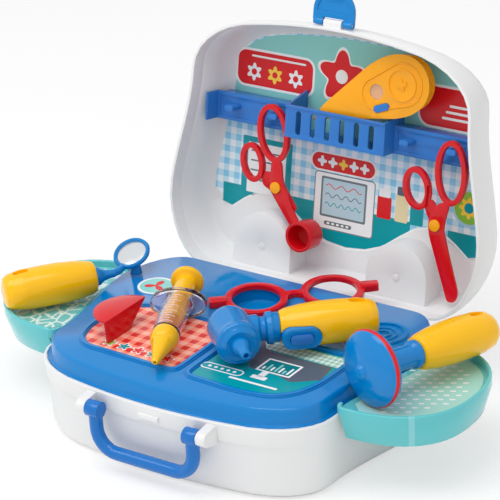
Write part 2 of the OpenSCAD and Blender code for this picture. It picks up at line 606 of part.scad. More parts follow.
module syringe_plunger() color(yellow) in_syringe()
  turned([[0, 1.6], [7, 0], [11.4, 0], [12.7, 1.2], [knob_r, 3.4], [12.2, 5], [plunger_r, 6.4],
    [plunger_r - 0.2, collar_z - 43], [barrel_r - 2.15, collar_z - 42], [barrel_r - 2.15, collar_z - 37],
    [plunger_r - 1, collar_z - 36], [plunger_r - 3, collar_z - 34], [0, collar_z - 34]]);

// grip shared by the otoscope, hammer and mirror, along +Z from its collar
module grip() difference() {
  turned([[0, 0], [10.4, 0], [12, 0.8], [13.6, 5], [15.4, 16], [grip_r, 30], [grip_r, 44],
    [grip_r - 0.6, grip_l - 14], [grip_r - 2.4, grip_l - 5], [grip_r - 5, grip_l - 1], [grip_r - 8, grip_l], [0, grip_l]]);
  translate([-grip_r - 1, 0, grip_l - 15]) rotate([0, 90, 0]) linear_extrude(5) oblong(3.4, 3);
}
oto_at = [24, -30, deck_z + 19.6];
oto_az = 41.4;
oto_head_turn = -82.4;
module in_oto() translate(oto_at) rotate([0, 0, oto_az]) children();
module in_oto_head() in_oto() rotate([0, 0, oto_head_turn]) rotate([0, 90, 0]) children();
oto_grip_x = 35;
module otoscope_head() color(deck_blue) {
  in_oto_head() turned([[0, -14], [head_r - 5, -14], [head_r - 1.5, -13], [head_r - 0.4, -10], [head_r - 0.6, 16],
    [head_r, 18], [head_r, 20.4], [head_r - 1, 22], [head_r - 3, 22.8], [head_r - 4, 24], [11, 25.4],
    [9.5, 25], [6.5, 25], [0, 25]]);
  in_oto() rotate([0, 90, 0]) turned([[0, 8], [11, 8], [11, 19], [9, 21], [9, 24], [12, 25.5], [12.6, 29],
    [11.4, 31], [11.4, oto_grip_x - 0.2], [0, oto_grip_x - 0.2]]);
}
module otoscope_nozzle() color(deck_blue) in_oto_head()
  turned([[0, 25], [7.4, 25], [6.6, 28], [4.6, 34], [3.7, 41], [2.6, 42], [1.9, 42], [1.9, 37], [0, 37]]);
saddle_x = oto_grip_x + 14.9;
saddle_z = -3;
module oto_side(depth, h) translate([saddle_x, -grip_r - depth, saddle_z]) rotate([-90, 0, 0]) linear_extrude(h) children();
module otoscope_grip() color(yellow) in_oto() difference() {
  translate([oto_grip_x, 0, 0]) rotate([0, 90, 0]) grip();
  oto_side(4, 13) oblong(6.8, 8.4);
}
module otoscope_saddle() color(deck_blue) in_oto() difference() {
  oto_side(1.6, 9.6) oblong(6.6, 8.2);
  oto_side(2, 5) oblong(5.2, 3.9);
}
module otoscope_button() color([0.05, 0.5, 0.85]) in_oto() {
  oto_side(3, 3.2) oblong(5, 3.6);
}

// reflex hammer on the right tray: disc standing on edge, grip end on the far rim
ham_at = [144.5, -34, tray_floor + 32];
ham_az = 73;
ham_dip = 4.2;
module in_ham() translate(ham_at) rotate([0, 0, ham_az]) rotate([0, ham_dip, 0]) rotate([0, 90, 0]) children();
module hammer_head() color(deck_blue) in_ham()
  turned([[0, -9.4], [3.6, -9.2], [5.6, -7.4], [5.8, -6.6], [14, -4.9], [22, -2.4], [disc_r - 1.6, 0.6],
    [disc_r - 0.6, 2], [disc_r - 0.6, 2.6], [disc_r - 3, 2.6], [disc_r - 3, 6.2], [disc_r - 0.8, 6.2],
    [disc_r - 1, 7.4], [disc_r - 4, 8.4], [12, 11], [9.6, 13], [9, 16], [8.6, 34], [8.6, 40], [10.6, 42], [10.6, 45.8], [0, 45.8]]);
module hammer_ring() color(red) in_ham()
  turned([[disc_r - 3, 2.6], [disc_r - 1, 2.6], [disc_r, 3.4], [disc_r, 5.4], [disc_r - 1, 6.2], [disc_r - 3, 6.2]]);
module hammer_grip() color(yellow) in_ham() translate([0, 0, 46]) grip();

// dental mirror on the left tray, its head over the corner of the insert
mir_at = [-141.6, 18.4, tray_top + 12.5];
mir_az = 51.9;
mir_head = [-132, 55, deck_z + 14.4];
mir_tilt = 27.5;
module mirror_grip() color(yellow) translate(mir_at) rotate([0, 0, mir_az + 180]) rotate([0, 90, 0]) grip();
module in_mirror() translate(mir_head) rotate([mir_tilt, 0, 0]) children();
module mirror_frame() color(deck_blue) {
  translate(mir_at) rotate([0, 0, mir_az]) rotate([0, 90, 0])
    turned([[0, 0.2], [8, 0.2], [7.4, 3], [4.6, 7], [3.4, 12], [3.2, 16], [0, 16]]);
  stack([for (k = [0:6]) let(u = k / 6,
      a = mir_at + [cos(mir_az), sin(mir_az), 0] * 12,
      m = mir_at + [cos(mir_az), sin(mir_az), 0] * 22 + [-1, 0, 0.4],
      e = mir_head + [-1.4, -11.8, -6.8],
      c = a * sq(1 - u) + 2 * m * u * (1 - u) + e * sq(u),
      t = unit(2 * (m - a) * (1 - u) + 2 * (e - m) * u),
      s = unit(cross(t, [0, 0, 1])), n = cross(s, t))
    [for (j = [0:11]) let(w = -30 * j) c + 3.1 * (s * cos(w) + n * sin(w))]]);
  in_mirror() turned([[0, -2.6], [12.6, -2.6], [15, -0.8], [15.4, 0.8], [14.6, 2.4], [13.2, 2.6], [12, 1.4],
    [12, 0], [0, 0]]);
  translate([mir_head.x + 5.6, mir_head.y - 3.4, deck_z + gap]) cylinder(r1 = 5, r2 = 3.4, h = mir_head.z - deck_z - 4);
}
module mirror_glass() color([0.85, 0.87, 0.9]) in_mirror() cylinder(r = 11.9, h = 1);

// flat spectacles without side arms
glass_at = [10.8, 73];
glass_az = 42;
module glasses() color(red) translate([glass_at.x, glass_at.y, deck_z + gap]) rotate([0, 0, glass_az]) {
  for (s = [-1, 1]) {
    frame2(ell([s * 30, 0], 24.6, 27.4, 44), ell([s * 30, 0], 19, 21.8, 44), 3.8);
    translate([s * 59.4, 1, 0]) plate(soft([[-7.5, -5.2], [6.5, -4.6], [6.5, 4.6], [-7.5, 5.2]], 2), 5.4);
  }
  linear_extrude(3.8) difference() {
    translate([-6.6, -1.5]) square([13.2, 8]);
    translate([0, -3.6]) circle(4.2);
  }
}

// red pinch clip: D-shaped press plate over two legs
clip_at = [-71, -36.5];
module clip() color(red) translate([clip_at.x, clip_at.y, deck_z + foil]) {
  top = 17.2;
  translate([0, 0, top]) plate(concat(ell([0, 0], 22.5, 25, 16, 0, 90, 270), [[1.4, -25], [1.4, 25]]), 1.7);
  rotate([90, 0, 90]) translate([0, 0, -0.4]) plate([[-24.8, top + 0.5], [-24.4, 13], [-23.6, 0], [3, 0], [24.6, top + 0.5]], 1.8);
  rotate([90, 0, 0]) translate([0, 0, -8]) plate([[-0.2, 0], [-0.2, 4], [-13.5, top + 0.4],
    [-16.5, top + 0.4], [-3, 0]], 20);
}

base_shell();
deck();
sticker_front_left();
sticker_front_right();
sticker_round();
hinge_pin_left();
hinge_pin_right();
lid_shell();
lid_sticker();
lid_rail();
axle_left();
axle_right();
wheel_left();
wheel_right();
latch();
latch_pin();
handle();
tray_left();
tray_left_sticker();
tray_right();
tray_right_sticker();
forceps_front();
forceps_back();
forceps_rivet();
scissors_front();
scissors_back();
scissors_rivet();
thermometer_front();
thermometer_back();
thermometer_dial();
thermometer_window();
thermometer_button();
syringe_barrel();
syringe_nose();
syringe_plunger();
otoscope_head();
otoscope_nozzle();
otoscope_grip();
otoscope_saddle();
otoscope_button();
hammer_head();
hammer_ring();
hammer_grip();
mirror_frame();
mirror_glass();
mirror_grip();
glasses();
clip();
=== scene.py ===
import json
import math
import bpy
from mathutils import Matrix, Vector


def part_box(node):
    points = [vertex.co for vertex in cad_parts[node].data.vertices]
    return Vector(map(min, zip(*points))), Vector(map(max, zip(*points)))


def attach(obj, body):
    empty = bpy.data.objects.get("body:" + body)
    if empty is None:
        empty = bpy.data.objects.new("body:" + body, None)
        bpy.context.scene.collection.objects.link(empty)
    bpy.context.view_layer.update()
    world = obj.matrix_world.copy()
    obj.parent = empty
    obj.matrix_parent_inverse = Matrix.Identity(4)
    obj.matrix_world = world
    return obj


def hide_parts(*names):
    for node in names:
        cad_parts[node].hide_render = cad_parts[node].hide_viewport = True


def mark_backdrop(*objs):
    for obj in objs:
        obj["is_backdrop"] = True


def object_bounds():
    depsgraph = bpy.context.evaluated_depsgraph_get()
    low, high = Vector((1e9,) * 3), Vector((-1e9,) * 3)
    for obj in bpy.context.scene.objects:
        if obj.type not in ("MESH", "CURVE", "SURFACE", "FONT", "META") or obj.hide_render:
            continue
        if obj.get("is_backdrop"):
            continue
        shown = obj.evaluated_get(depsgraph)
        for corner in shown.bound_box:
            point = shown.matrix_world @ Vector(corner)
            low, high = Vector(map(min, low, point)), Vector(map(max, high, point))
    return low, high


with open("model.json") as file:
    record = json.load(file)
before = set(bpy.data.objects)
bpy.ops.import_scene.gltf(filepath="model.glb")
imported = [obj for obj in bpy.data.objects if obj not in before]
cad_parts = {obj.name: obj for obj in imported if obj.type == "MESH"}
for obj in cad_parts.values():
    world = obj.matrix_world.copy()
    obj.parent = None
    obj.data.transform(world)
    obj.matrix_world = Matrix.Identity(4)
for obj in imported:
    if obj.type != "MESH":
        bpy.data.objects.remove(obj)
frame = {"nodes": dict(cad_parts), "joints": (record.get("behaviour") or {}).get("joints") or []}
low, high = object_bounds()


# Case base: one white injection-moulded ABS shell with a bevelled foot, a rolled rim,
# two moulded brackets and a small catch at the front, all in one shot of plastic.
def linear(hex_colour):
    """A colour written as in sRGB, turned into the linear values that the shaders take."""
    parts = [int(hex_colour[i:i + 2], 16) / 255 for i in (1, 3, 5)]
    return [c / 12.92 if c <= 0.04045 else ((c + 0.055) / 1.055) ** 2.4 for c in parts] + [1]


def add(owner, kind, links=(), **settings):
    """Adds a shader node, sets its options or its sockets' values, and links its inputs."""
    item = owner.node_tree.nodes.new("ShaderNode" + kind)
    for key, value in settings.items():
        if hasattr(item, key):
            setattr(item, key, value)
        else:
            item.inputs[key.replace("_", " ")].default_value = value
    for source, target in links:
        owner.node_tree.links.new(source, item.inputs[target])
    return item


def surface_of(mat):
    return mat.node_tree.nodes["Principled BSDF"]


def plastic(name, colour, roughness=0.28, ior=1.54, coat=0.0, subsurface=0.0, wear=0.04):
    """A moulded plastic: base colour, gloss, and a faint flow unevenness in its gloss."""
    mat = bpy.data.materials.new(name)
    mat.use_nodes = True
    shader = surface_of(mat)
    shader.inputs["Base Color"].default_value = linear(colour)
    shader.inputs["IOR"].default_value = ior
    shader.inputs["Specular IOR Level"].default_value = 0.28
    shader.inputs["Coat Weight"].default_value = coat
    shader.inputs["Subsurface Weight"].default_value = subsurface
    shader.inputs["Subsurface Radius"].default_value = (0.006, 0.003, 0.001)
    place = add(mat, "TexCoord")
    flow = add(mat, "TexNoise", [(place.outputs["Object"], "Vector")], Scale=38.0, Detail=2.0)
    gloss = add(mat, "MapRange", [(flow.outputs["Fac"], "Value")], To_Min=roughness - wear,
                To_Max=roughness + wear)
    mat.node_tree.links.new(gloss.outputs["Result"], shader.inputs["Roughness"])
    return mat


def dress(material, *names, bevel=0.0004, angle=32):
    """Gives CAD nodes their material, smooth shading and the small radius of a moulded edge."""
    for name in names:
        piece = frame["nodes"][name]
        piece.data.materials.clear()
        piece.data.materials.append(material)
        piece.data.shade_smooth()
        weld = piece.modifiers.new("Weld", "WELD")
        weld.merge_threshold = 0.00001
        if bevel:
            edge = piece.modifiers.new("MouldRadius", "BEVEL")
            edge.width = bevel
            edge.segments = 2
            edge.limit_method = "ANGLE"
            edge.angle_limit = math.radians(angle)
            edge.harden_normals = False
        sharp = piece.modifiers.new("Shade", "NODES")
        sharp.node_group = smooth_by_angle()


def smooth_by_angle(crisp=40):
    """A node group that keeps edges sharper than crisp degrees and blends the rest."""
    group = bpy.data.node_groups.get("SmoothByAngle")
    if group:
        return group
    group = bpy.data.node_groups.new("SmoothByAngle", "GeometryNodeTree")
    group.interface.new_socket("Geometry", in_out="INPUT", socket_type="NodeSocketGeometry")
    group.interface.new_socket("Geometry", in_out="OUTPUT", socket_type="NodeSocketGeometry")
    start = group.nodes.new("NodeGroupInput")
    end = group.nodes.new("NodeGroupOutput")
    turn = group.nodes.new("GeometryNodeInputMeshEdgeAngle")
    small = group.nodes.new("FunctionNodeCompare")
    small.data_type = "FLOAT"
    small.operation = "LESS_THAN"
    small.inputs["B"].default_value = math.radians(crisp)
    shade = group.nodes.new("GeometryNodeSetShadeSmooth")
    shade.domain = "EDGE"
    group.links.new(turn.outputs["Unsigned Angle"], small.inputs["A"])
    group.links.new(start.outputs[0], shade.inputs["Geometry"])
    group.links.new(small.outputs[0], shade.inputs["Shade Smooth"])
    group.links.new(shade.outputs["Geometry"], end.inputs[0])
    return group


white_abs = plastic("white_abs_moulded", "#E9E9E9", roughness=0.3, subsurface=0.04)
blue_abs = plastic("deck_blue_abs_polished", "#0080C9", roughness=0.13, coat=0.1)
rail_abs = plastic("rail_blue_abs_moulded", "#2F78C8", roughness=0.24)
handle_abs = plastic("handle_blue_abs_moulded", "#0A6FC0", roughness=0.15, coat=0.1)
red_ps = plastic("red_polystyrene_moulded", "#D70C1A", roughness=0.16, coat=0.12, subsurface=0.02)
yellow_abs = plastic("yellow_abs_moulded", "#FFC000", roughness=0.18, coat=0.12, subsurface=0.12)
amber_abs = plastic("amber_abs_moulded", "#FFAC0E", roughness=0.22, coat=0.1, subsurface=0.1)
steel = plastic("drawn_steel_wire", "#B9BCC0", roughness=0.3)
surface_of(steel).inputs["Metallic"].default_value = 1.0
dress(white_abs, "base_shell", bevel=0.0003)
dress(steel, "hinge_pin_left", "hinge_pin_right", bevel=0.0001)

# Insert: a blue polished ABS tray pressed into the rim, with a step and two raised frames
# that hold printed vinyl stickers, and a ribbed round seat at the back right.
dress(blue_abs, "deck", bevel=0.0005)


# Stickers on the insert: printed vinyl. Left, red gingham with a row of small shapes;
# right, teal with a grey band, a mint gingham corner and a little picture on a stand.
def axes_of(origin, x_axis, y_axis):
    """A matrix in metres for artwork: local x and y lie in the sheet, z leaves its face."""
    x_axis = Vector(x_axis).normalized()
    y_axis = Vector(y_axis).normalized()
    rows = Matrix((x_axis, y_axis, x_axis.cross(y_axis))).transposed().to_4x4()
    return Matrix.Translation(Vector(origin)) @ rows


def new_piece(name, corners, faces, material):
    mesh = bpy.data.meshes.new(name)
    mesh.from_pydata(corners, [], faces)
    piece = bpy.data.objects.new(name, mesh)
    bpy.context.scene.collection.objects.link(piece)
    mesh.materials.append(material)
    return piece


def sheet_of(name, outline, place, level, material, body):
    """A printed patch: a flat outline in millimetres, set a few hundredths above its sticker."""
    lowest, layer = 0.00004, 0.00003
    corners = [place @ Vector((x / 1000, y / 1000, lowest + layer * level)) for x, y in outline]
    piece = new_piece(name, corners, [list(range(len(corners)))], material)
    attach(piece, body)
    return piece


def oval(x, y, rx, ry, count=40, start=0.0, turn=360.0):
    """An ellipse about (x, y), or its arc of turn degrees from start."""
    return [(x + rx * math.cos(math.radians(start + turn * i / count)),
             y + ry * math.sin(math.radians(start + turn * i / count))) for i in range(count)]


def box_round(x, y, w, h, r):
    """A rectangle of width w and height h about (x, y), its corners rounded to r."""
    outline = []
    for cx, cy, start in ((w / 2 - r, h / 2 - r, 0), (r - w / 2, h / 2 - r, 90),
                          (r - w / 2, r - h / 2, 180), (w / 2 - r, r - h / 2, 270)):
        outline += [(x + cx + r * math.cos(math.radians(start + 15 * i)),
                     y + cy + r * math.sin(math.radians(start + 15 * i))) for i in range(7)]
    return outline


def blossom(x, y, r, petals=5, depth=0.26):
    """A round outline of radius r whose rim waves in and out once for each petal."""
    return [(x + r * (1 - depth + depth * math.cos(petals * t)) * math.sin(t),
             y + r * (1 - depth + depth * math.cos(petals * t)) * math.cos(t))
            for t in [math.radians(4 * i) for i in range(90)]]


def ribbon(points, width):
    """A line of constant width along points, such as a printed curve."""
    left, right = [], []
    for i, (x, y) in enumerate(points):
        ax, ay = points[max(i - 1, 0)]
        bx, by = points[min(i + 1, len(points) - 1)]
        size = math.hypot(bx - ax, by - ay) or 1
        nx, ny = -(by - ay) / size * width / 2, (bx - ax) / size * width / 2
        left.append((x + nx, y + ny))
        right.append((x - nx, y - ny))
    return left + right[::-1]


def ink(name, colour, roughness=0.22):
    """Ink printed on vinyl film, with the film's soft gloss."""
    return plastic("vinyl_ink_" + name, colour, roughness=roughness, wear=0.02)


def gingham(name, place, pitch, pale, middle, deep):
    """Printed gingham: two sets of stripes, deepest where both cross; pitch in millimetres."""
    mat = plastic(name, pale, roughness=0.22, wear=0.02)
    where = add(mat, "TexCoord")
    bands = []
    both = 2
    for k in range(both):
        axis = place.col[k].to_3d()
        along = add(mat, "VectorMath", [(where.outputs["Object"], 0)], operation="DOT_PRODUCT")
        along.inputs[1].default_value = axis
        scaled = add(mat, "Math", [(along.outputs["Value"], 0)], operation="MULTIPLY")
        scaled.inputs[1].default_value = 1000 / pitch
        part = add(mat, "Math", [(scaled.outputs[0], 0)], operation="FRACT")
        band = add(mat, "Math", [(part.outputs[0], 0)], operation="GREATER_THAN")
        band.inputs[1].default_value = 0.5
        bands.append(band)
    total = add(mat, "Math", [(bands[0].outputs[0], 0), (bands[1].outputs[0], 1)], operation="ADD")
    half = add(mat, "Math", [(total.outputs[0], 0)], operation="MULTIPLY")
    half.inputs[1].default_value = 1 / both
    ramp = add(mat, "ValToRGB", [(half.outputs[0], "Fac")])
    ramp.color_ramp.interpolation = "CONSTANT"
    ramp.color_ramp.elements[0].color = linear(pale)
    ramp.color_ramp.elements[1].position = 0.75
    ramp.color_ramp.elements[1].color = linear(deep)
    mid = ramp.color_ramp.elements.new(0.25)
    mid.color = linear(middle)
    mat.node_tree.links.new(ramp.outputs["Color"], surface_of(mat).inputs["Base Color"])
    return mat


white_ink = ink("white", "#F6F7F7")
red_ink = ink("red", "#E01A22")
teal_ink = ink("teal", "#009CA6")
deep_teal_ink = ink("deep_teal", "#0A7F86")
mint_ink = ink("mint", "#8FD6D0")
slate_ink = ink("slate", "#5B6470")
green_ink = ink("green", "#8CC84B")
deck_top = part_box("sticker_front_left")[1].z
deck_art = axes_of((0, 0, deck_top), (1, 0, 0), (0, 1, 0))
dress(gingham("vinyl_red_gingham", deck_art, 11.6, "#FFB9A4", "#FB8E78", "#DB3230"),
      "sticker_front_left", bevel=0)
dress(teal_ink, "sticker_front_right", bevel=0)
dress(white_ink, "sticker_round", bevel=0)
for i, tint in enumerate((green_ink, teal_ink, red_ink, teal_ink, red_ink)):
    x, y = -70 + 13.5 * i, -57.5 - 0.3 * i
    sheet_of(f"deck_print_flower_edge_{i}", blossom(x, y, 6.4), deck_art, 0, white_ink, "case")
    sheet_of(f"deck_print_flower_{i}", blossom(x, y, 4.9), deck_art, 1, tint, "case")
band = [(32, 4), (46, -12), (100, -12), (103, -33), (86, -46), (80, -45), (72, -42), (46, -41), (15, 4)]
sheet_of("deck_print_band", band, deck_art, 0, slate_ink, "case")
mint_weave = gingham("vinyl_mint_gingham", deck_art, 4.6, "#E9F5F1", "#BFE0D8", "#8FC8BD")
sheet_of("deck_print_weave", [(30, 4), (40, -10), (100, -11.5), (104, -11.5), (103.5, 4)],
         deck_art, 1, mint_weave, "case")
picture = deck_art @ Matrix.Translation((0.066, -0.0315, 0))
sheet_of("deck_print_frame", box_round(0, 0, 30, 20, 1), picture, 2, white_ink, "case")
sheet_of("deck_print_scene", box_round(0, 0, 26.4, 16.4, 0.6), picture, 3, deep_teal_ink, "case")
for i, tall in enumerate((4, 9, 6, 12, 8, 5, 10)):
    sheet_of(f"deck_print_bar_{i}", box_round(-10.5 + 3.5 * i, -6.6 + tall / 2, 1.8, tall, 0.4), picture, 4,
             mint_ink if i % 2 else white_ink, "case")
sheet_of("deck_print_stand", box_round(-5, -14, 5.5, 8, 0.6), picture, 2, white_ink, "case")
sheet_of("deck_print_foot", box_round(-5, -19.6, 13, 5, 0.8), picture, 2, white_ink, "case")
sheet_of("deck_print_shelf", box_round(-4, -29, 42, 2.4, 0.5), picture, 2, white_ink, "case")
capsule = deck_art @ Matrix.Translation((0.0295, -0.0525, 0))
sheet_of("deck_print_pill_edge", box_round(0, 0, 37, 9.5, 4.7), capsule, 2, white_ink, "case")
sheet_of("deck_print_pill", box_round(0, 0, 34.4, 6.9, 3.4), capsule, 3, teal_ink, "case")
for i in range(5):
    sheet_of(f"deck_print_seed_{i}", oval(-11 + 5.5 * i, 0, 1.5, 1.5, 20), capsule, 4, white_ink, "case")
round_at = (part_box("sticker_round")[0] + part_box("sticker_round")[1]) / 2 * 1000
sheet_of("deck_print_round", oval(round_at.x, round_at.y, 13, 13), deck_art, 0, mint_ink, "case")
sheet_of("deck_print_round_leaf", blossom(round_at.x, round_at.y, 9.5, 3, 0.45), deck_art, 1,
         red_ink, "case")

# Lid: the same white ABS as the base, with a raised wave-shaped land and two wheel wells.
# Its sticker shows a play surgery: mint above the rail, pale blue gingham, teal wainscot.
dress(white_abs, "lid_shell", bevel=0.0003)
dress(white_abs, "axle_left", "axle_right", bevel=0.0003)
dress(steel, "latch_pin", bevel=0.0001)


def joint_of(name):
    return next(joint for joint in frame["joints"] if joint["name"] == name)


lid_lean = math.radians(10.8)
lid_up = Vector((0, math.sin(lid_lean), math.cos(lid_lean)))
lid_across = Vector((1, 0, 0))
lid_out = lid_across.cross(lid_up)
pin_to_edge, pin_to_rim = 0.0034, 0.005
rim_line = Vector(joint_of("lid_hinge")["pos_m"]) + lid_up * pin_to_edge - lid_out * pin_to_rim
sticker_depth = 0.0442
lid_art = axes_of(rim_line - lid_out * sticker_depth, lid_across, lid_up)
wall_weave = gingham("vinyl_sky_gingham", lid_art, 10.6, "#F4FBFE", "#C8EBFA", "#8FD2F1")
dress(wall_weave, "lid_sticker", bevel=0)
grey_ink = ink("grey", "#6E7C80")
sky_ink = ink("sky", "#A9D6EE")
yellow_ink = ink("yellow", "#FFD24A")
cream_ink = ink("cream", "#EBDDB0")
land_right = [(0, 27), (18, 29), (34, 35), (49, 46), (62, 55), (74, 58.5), (88, 56.5), (99, 50), (111, 41),
              (124, 44)]
land_line = [(-x, y) for x, y in land_right[:0:-1]] + land_right


def film_height(x):
    """Upper edge of the raised land at x, along the lid, in millimetres."""
    for (x0, y0), (x1, y1) in zip(land_line, land_line[1:]):
        if x0 <= x <= x1:
            return y0 + (y1 - y0) * (x - x0) / (x1 - x0)


def strip(x0, x1, rise, top, count):
    """An area of the sticker from just above the land to the height top."""
    steps = [x0 + (x1 - x0) * i / count for i in range(count + 1)]
    low_edge = [(x, min(film_height(x) + rise, top)) for x in steps]
    return low_edge + [(x1, top), (x0, top)]


wainscot_top, above_land = 61, 1.5
for area, x0, x1, count in (("left", -121, -50, 30), ("mid", -50, 58, 40), ("right", 92, 121, 30)):
    sheet_of(f"lid_print_wainscot_{area}", strip(x0, x1, above_land, wainscot_top, count), lid_art, 0,
             teal_ink, "lid")
sheet_of("lid_print_edge", ribbon([(x, y + 0.7) for x, y in land_line[1:-1]], 1.9), lid_art, 1,
         white_ink, "lid")
sky_right = [(118, 118), (116, 130), (114.4, 142), (113.3, 154), (112.4, 164), (109.8, 170.5), (105, 176.5),
             (97, 182.5), (83.5, 188.3), (72, 191), (49, 194.3), (25, 196.4), (0, 197)]
sky = sky_right + [(-x, y) for x, y in sky_right[-2::-1]]
sheet_of("lid_print_mint", sky, lid_art, 0, mint_ink, "lid")
sheet_of("lid_print_plaque_edge", box_round(-77, 160, 76, 32, 9), lid_art, 1, white_ink, "lid")
sheet_of("lid_print_plaque", box_round(-77, 160, 72, 28, 7.5), lid_art, 2, red_ink, "lid")
sheet_of("lid_print_plaque_shine", box_round(-74, 170, 52, 1.6, 0.8), lid_art, 3, white_ink, "lid")
for i, tint in enumerate((white_ink, yellow_ink, white_ink)):
    x, y = -97 + 20 * i, 157
    sheet_of(f"lid_print_balloon_{i}", blossom(x, y, 7.4, 6, 0.2), lid_art, 3, tint, "lid")
    sheet_of(f"lid_print_balloon_eye_{i}", oval(x, y, 2.6, 2.6, 24), lid_art, 4, red_ink, "lid")
sheet_of("lid_print_star_edge", blossom(-14, 166, 24, 5, 0.2), lid_art, 1, white_ink, "lid")
sheet_of("lid_print_star", blossom(-14, 166, 21.4, 5, 0.2), lid_art, 2, red_ink, "lid")
sheet_of("lid_print_star_eye", oval(-14, 166, 5.6, 5.6), lid_art, 3, white_ink, "lid")
sheet_of("lid_print_sign_edge", box_round(86, 157, 58, 35, 11), lid_art, 1, white_ink, "lid")
sheet_of("lid_print_sign", box_round(86, 157, 54, 31, 9.5), lid_art, 2, red_ink, "lid")
for i in range(3):
    sheet_of(f"lid_print_sign_line_{i}", box_round(94, 149 + 5 * i, 30 - 6 * i, 2, 0.9), lid_art, 3,
             white_ink, "lid")
sheet_of("lid_print_door", box_round(-80, 79, 48, 49, 1), lid_art, 1, teal_ink, "lid")
sheet_of("lid_print_door_glass", box_round(-80, 78, 37, 42, 1), lid_art, 2, white_ink, "lid")
for i in range(4):
    sheet_of(f"lid_print_blind_{i}", box_round(-80, 92 - 8 * i, 31, 1.3, 0.5), lid_art, 3,
             grey_ink, "lid")
sheet_of("lid_print_screen_case", box_round(-4.5, 63.5, 57, 47, 3), lid_art, 2, grey_ink, "lid")
sheet_of("lid_print_screen_face", box_round(-4.5, 63.5, 55.4, 45.4, 2.4), lid_art, 3, white_ink, "lid")
sheet_of("lid_print_screen_rim", box_round(-5, 67, 43, 33, 1.4), lid_art, 4, grey_ink, "lid")
glass_ink = ink("screen", "#BBD5DF")
sheet_of("lid_print_screen", box_round(-5, 67, 39.5, 29.5, 1), lid_art, 5, glass_ink, "lid")
for i, tint in enumerate((red_ink, slate_ink, teal_ink)):
    trace = [(-22 + 1.3 * k, 76 - 7.5 * i + 1.7 * math.sin(k * (0.7 + 0.25 * i))) for k in range(27)]
    sheet_of(f"lid_print_trace_{i}", ribbon(trace, 0.7), lid_art, 6, tint, "lid")
sheet_of("lid_print_keys", box_round(-9, 45.4, 26, 3.4, 1.7), lid_art, 4, grey_ink, "lid")
for i in range(5):
    sheet_of(f"lid_print_key_{i}", box_round(-18 + 4.5 * i, 45.4, 3, 1.8, 0.9), lid_art, 5,
             white_ink, "lid")
sheet_of("lid_print_badge_edge", box_round(-7, 95.5, 62, 16, 7.8), lid_art, 4, white_ink, "lid")
sheet_of("lid_print_badge", box_round(-7, 95.5, 59, 13.4, 6.6), lid_art, 5, red_ink, "lid")
for i in range(5):
    sheet_of(f"lid_print_badge_bead_{i}", blossom(-27 + 10 * i, 95.5, 4.4, 4, 0.24), lid_art, 6,
             yellow_ink if i == 2 else white_ink, "lid")
jars = ((33, 13, 18, red_ink, white_ink), (49, 12, 22, cream_ink, slate_ink),
        (63, 12, 16, teal_ink, white_ink))
shelf = 59
for i, (x, wide, tall, body_ink, cap_ink) in enumerate(jars):
    jar = box_round(x, shelf + tall / 2, wide, tall, 1.6)
    cap = box_round(x, shelf + tall + 3, wide * 0.8, 7, 1.4)
    sheet_of(f"lid_print_jar_{i}", jar, lid_art, 2, body_ink, "lid")
    sheet_of(f"lid_print_jar_cap_{i}", cap, lid_art, 3, cap_ink, "lid")
roundel = (109, 82)
sheet_of("lid_print_roundel_edge", oval(*roundel, 15, 15), lid_art, 2, sky_ink, "lid")
sheet_of("lid_print_roundel", oval(*roundel, 13, 13), lid_art, 3, green_ink, "lid")
sheet_of("lid_print_roundel_sun", blossom(*roundel, 9, 8, 0.16), lid_art, 4, yellow_ink, "lid")
sheet_of("lid_print_roundel_eye", oval(*roundel, 4.2, 4.2, 24), lid_art, 5, teal_ink, "lid")

# Rail: one blue ABS moulding across the lid, with a slotted basket and four long pegs.
# Wheels: blue ABS on white pins, latch: polished blue ABS flap on a wire pin.
dress(rail_abs, "lid_rail", bevel=0.0005)
dress(rail_abs, "wheel_left", "wheel_right", bevel=0.0004)
dress(blue_abs, "latch", bevel=0.0005)
dress(handle_abs, "handle", bevel=0.0003)

# Trays: half-round dishes of translucent aqua polypropylene that plug into the case sides;
# each floor carries a printed sticker, water glints left and mint with white dashes right.
aqua, weld_tint = "#62C6CA", "#86D0D4"
aqua_pp = plastic("aqua_polypropylene_translucent", aqua, roughness=0.16, ior=1.49, coat=0.3,
                  subsurface=0.3)
shader = surface_of(aqua_pp)
shader.inputs["Subsurface Radius"].default_value = (0.006, 0.009, 0.009)
shader.inputs["Sheen Weight"].default_value = 0.3
shader.inputs["Sheen Roughness"].default_value = 0.3
weld_at, weld_run = Vector((0.182, -0.038, 0)), Vector((0.819, 0.574, 0))
weld_width, weld_fade = 0.0019, 0.0005
place = add(aqua_pp, "TexCoord")
from_weld = add(aqua_pp, "VectorMath", [(place.outputs["Object"], 0)], operation="SUBTRACT")
from_weld.inputs[1].default_value = weld_at
across_weld = add(aqua_pp, "VectorMath", [(from_weld.outputs[0], 0)], operation="DOT_PRODUCT")
across_weld.inputs[1].default_value = weld_run
away = add(aqua_pp, "Math", [(across_weld.outputs["Value"], 0)], operation="ABSOLUTE")
weld = add(aqua_pp, "MapRange", [(away.outputs[0], "Value")], From_Min=weld_width,
           From_Max=weld_width + weld_fade, To_Min=0.0, To_Max=1.0)
tone = add(aqua_pp, "ValToRGB", [(weld.outputs["Result"], "Fac")])
tone.color_ramp.elements[0].color = linear(weld_tint)
tone.color_ramp.elements[1].color = linear(aqua)
aqua_pp.node_tree.links.new(tone.outputs["Color"], shader.inputs["Base Color"])
dress(aqua_pp, "tray_left", "tray_right", bevel=0.0004)
water_tint, glint_tint, glint_share = "#74C6C8", "#F2FBFA", 0.16
water = plastic("vinyl_water_print", water_tint, roughness=0.2)
spot = add(water, "TexCoord")
bend = add(water, "TexNoise", [(spot.outputs["Object"], "Vector")], Scale=60.0, Detail=3.0)
pull = add(water, "VectorMath", [(bend.outputs["Color"], 0)], operation="SCALE")
pull.inputs["Scale"].default_value = 0.014
